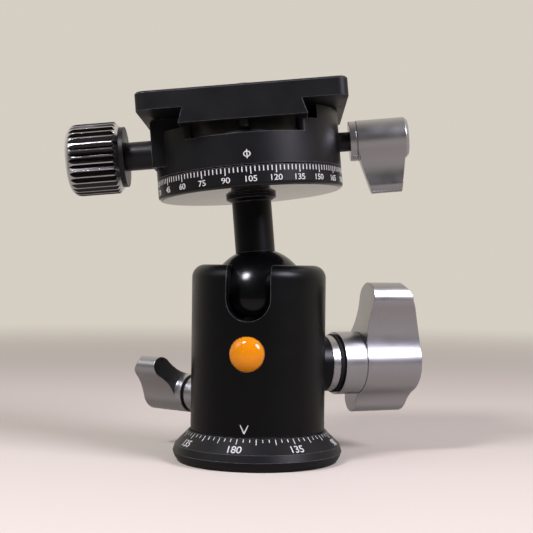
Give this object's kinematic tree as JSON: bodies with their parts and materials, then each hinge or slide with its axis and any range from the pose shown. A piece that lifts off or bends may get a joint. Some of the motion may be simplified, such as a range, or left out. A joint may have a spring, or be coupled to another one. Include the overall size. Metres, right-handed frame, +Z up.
{
  "type": "tripod ball head",
  "caption": "Camera ball head: round foot with a dial, notched housing with winged locking knobs, ball and neck, panning dovetail clamp with a knurled knob, and a quick-release plate.",
  "frame": {"origin": "centre of the foot's underside, at the mouth of its tripod thread", "axes": "+Z up along the housing, -Y towards the drop notch and the badge, +X to the right of it"},
  "size_m": [0.1122, 0.0677, 0.1185],
  "materials": {
    "black_anodised": "satin black anodised",
    "black_blasted": "bead-blasted, black anodised",
    "satin_silver": "turned, clear anodised",
    "chrome_knurl": "polished, knurled",
    "blackened_steel": "blackened steel",
    "plain_steel": "plain steel",
    "black_rubber": "matt rubber",
    "bearing_plastic": "natural acetal",
    "brass": "machined brass",
    "orange_resin": "domed clear resin over orange"
  },
  "bodies": {
    "base": {"base_plate": "black_anodised", "thread_insert": "plain_steel", "base_washer": "bearing_plastic", "base_retainer": "plain_steel", "retainer_screws": "blackened_steel"},
    "housing": {"housing": "black_anodised", "badge": "orange_resin", "main_knob_collar": "black_anodised", "main_knob_ring": "satin_silver", "pan_ring": "satin_silver", "seat_ring": "bearing_plastic", "wedge_seat": "plain_steel"},
    "clamp_wedge": {"clamp_wedge": "brass"},
    "pressure_cup": {"pressure_cup": "bearing_plastic"},
    "main_knob": {"main_knob": "satin_silver", "main_knob_seal": "black_rubber", "main_screw": "plain_steel", "knob_set_screw": "blackened_steel"},
    "pan_knob": {"pan_knob": "satin_silver", "pan_seal": "black_rubber", "pan_screw": "plain_steel"},
    "pan_pad": {"pan_pad": "brass"},
    "ball": {"ball": "black_anodised"},
    "neck": {"stem": "black_anodised"},
    "spin_group": {"dial_disc": "black_anodised", "stem_bolt": "plain_steel", "top_washer": "bearing_plastic", "top_retainer": "black_anodised", "top_retainer_screws": "blackened_steel"},
    "clamp": {"clamp_body": "black_anodised", "guide_pins": "plain_steel", "jaw_spring": "plain_steel"},
    "top_lever": {"top_lever": "satin_silver", "lever_screw": "blackened_steel", "lever_ring": "satin_silver"},
    "lever_pad": {"lever_pad": "brass"},
    "jaw": {"moving_jaw": "black_anodised", "jaw_sleeve": "blackened_steel"},
    "clamp_knob": {"knurled_knob": "chrome_knurl", "knob_disc": "blackened_steel", "clamp_screw": "plain_steel"},
    "plate": {"qr_plate": "black_blasted", "camera_screw": "plain_steel", "screw_clip": "plain_steel", "plate_pads": "black_rubber", "stop_screws": "blackened_steel"}
  },
  "joints": [
    {"name": "base_pan", "type": "hinge", "parent": "base", "child": "housing", "pos_m": [0, 0, 0], "axis": [0, 0, 1], "continuous": true},
    {"name": "main_knob_turn", "type": "hinge", "parent": "housing", "child": "main_knob", "pos_m": [0, 0, 0.0297], "axis": [0.866, 0.5, 0], "range_deg": [0, 540]},
    {"name": "wedge_slide", "type": "slide", "parent": "housing", "child": "clamp_wedge", "axis": [0.866, 0.5, 0], "range_m": [-0.00125, 0]},
    {"name": "cup_drop", "type": "slide", "parent": "housing", "child": "pressure_cup", "axis": [0, 0, 1], "range_m": [-0.00012, 0]},
    {"name": "pan_knob_turn", "type": "hinge", "parent": "housing", "child": "pan_knob", "pos_m": [0, 0, 0.0186], "axis": [-0.866, 0.5, 0], "range_deg": [0, 360]},
    {"name": "pan_pad_slide", "type": "slide", "parent": "housing", "child": "pan_pad", "axis": [-0.866, 0.5, 0], "range_m": [0, 0.00022]},
    {"name": "ball_side_tilt", "type": "hinge", "parent": "housing", "child": "ball", "pos_m": [0, 0, 0.0508], "axis": [0, 1, 0], "range_deg": [-14.74, 25.26]},
    {"name": "ball_drop_tilt", "type": "hinge", "parent": "ball", "child": "neck", "pos_m": [0, 0, 0.0508], "axis": [0.9921, 0.1209, -0.0324], "range_deg": [-17.5, 91.97]},
    {"name": "ball_spin", "type": "hinge", "parent": "neck", "child": "spin_group", "pos_m": [0, 0, 0.0508], "axis": [-0.0917, 0.0192, 0.9956], "continuous": true},
    {"name": "top_pan", "type": "hinge", "parent": "spin_group", "child": "clamp", "pos_m": [0, 0, 0.0508], "axis": [-0.0917, 0.0192, 0.9956], "continuous": true},
    {"name": "top_lever_turn", "type": "hinge", "parent": "clamp", "child": "top_lever", "pos_m": [-0.00429, 0.0009, 0.09744], "axis": [0.9861, 0.1409, 0.0881], "range_deg": [0, 120]},
    {"name": "lever_pad_slide", "type": "slide", "parent": "clamp", "child": "lever_pad", "axis": [0.9861, 0.1409, 0.0881], "range_m": [0, 0.00022]},
    {"name": "jaw_slide", "type": "slide", "parent": "clamp", "child": "jaw", "axis": [-0.9861, -0.1409, -0.0881], "range_m": [0, 0.0035]},
    {"name": "clamp_knob_turn", "type": "hinge", "parent": "jaw", "child": "clamp_knob", "pos_m": [-0.00435, 0.00091, 0.09809], "axis": [-0.9861, -0.1409, -0.0881], "range_deg": [0, 1440]},
    {"name": "plate_slide", "type": "slide", "parent": "clamp", "child": "plate", "axis": [-0.1386, 0.9898, -0.0318], "range_m": [-0.0115, 0.0115]}
  ],
  "couplings": [
    {"joint": "wedge_slide", "follows": "main_knob_turn", "m_per_rad": -0.00012732},
    {"joint": "cup_drop", "follows": "main_knob_turn", "m_per_rad": -0.000011139},
    {"joint": "pan_pad_slide", "follows": "pan_knob_turn", "m_per_rad": 0.000031831},
    {"joint": "lever_pad_slide", "follows": "top_lever_turn", "m_per_rad": 0.000095493},
    {"joint": "clamp_knob_turn", "follows": "jaw_slide", "rad_per_m": 6283.2}
  ]
}
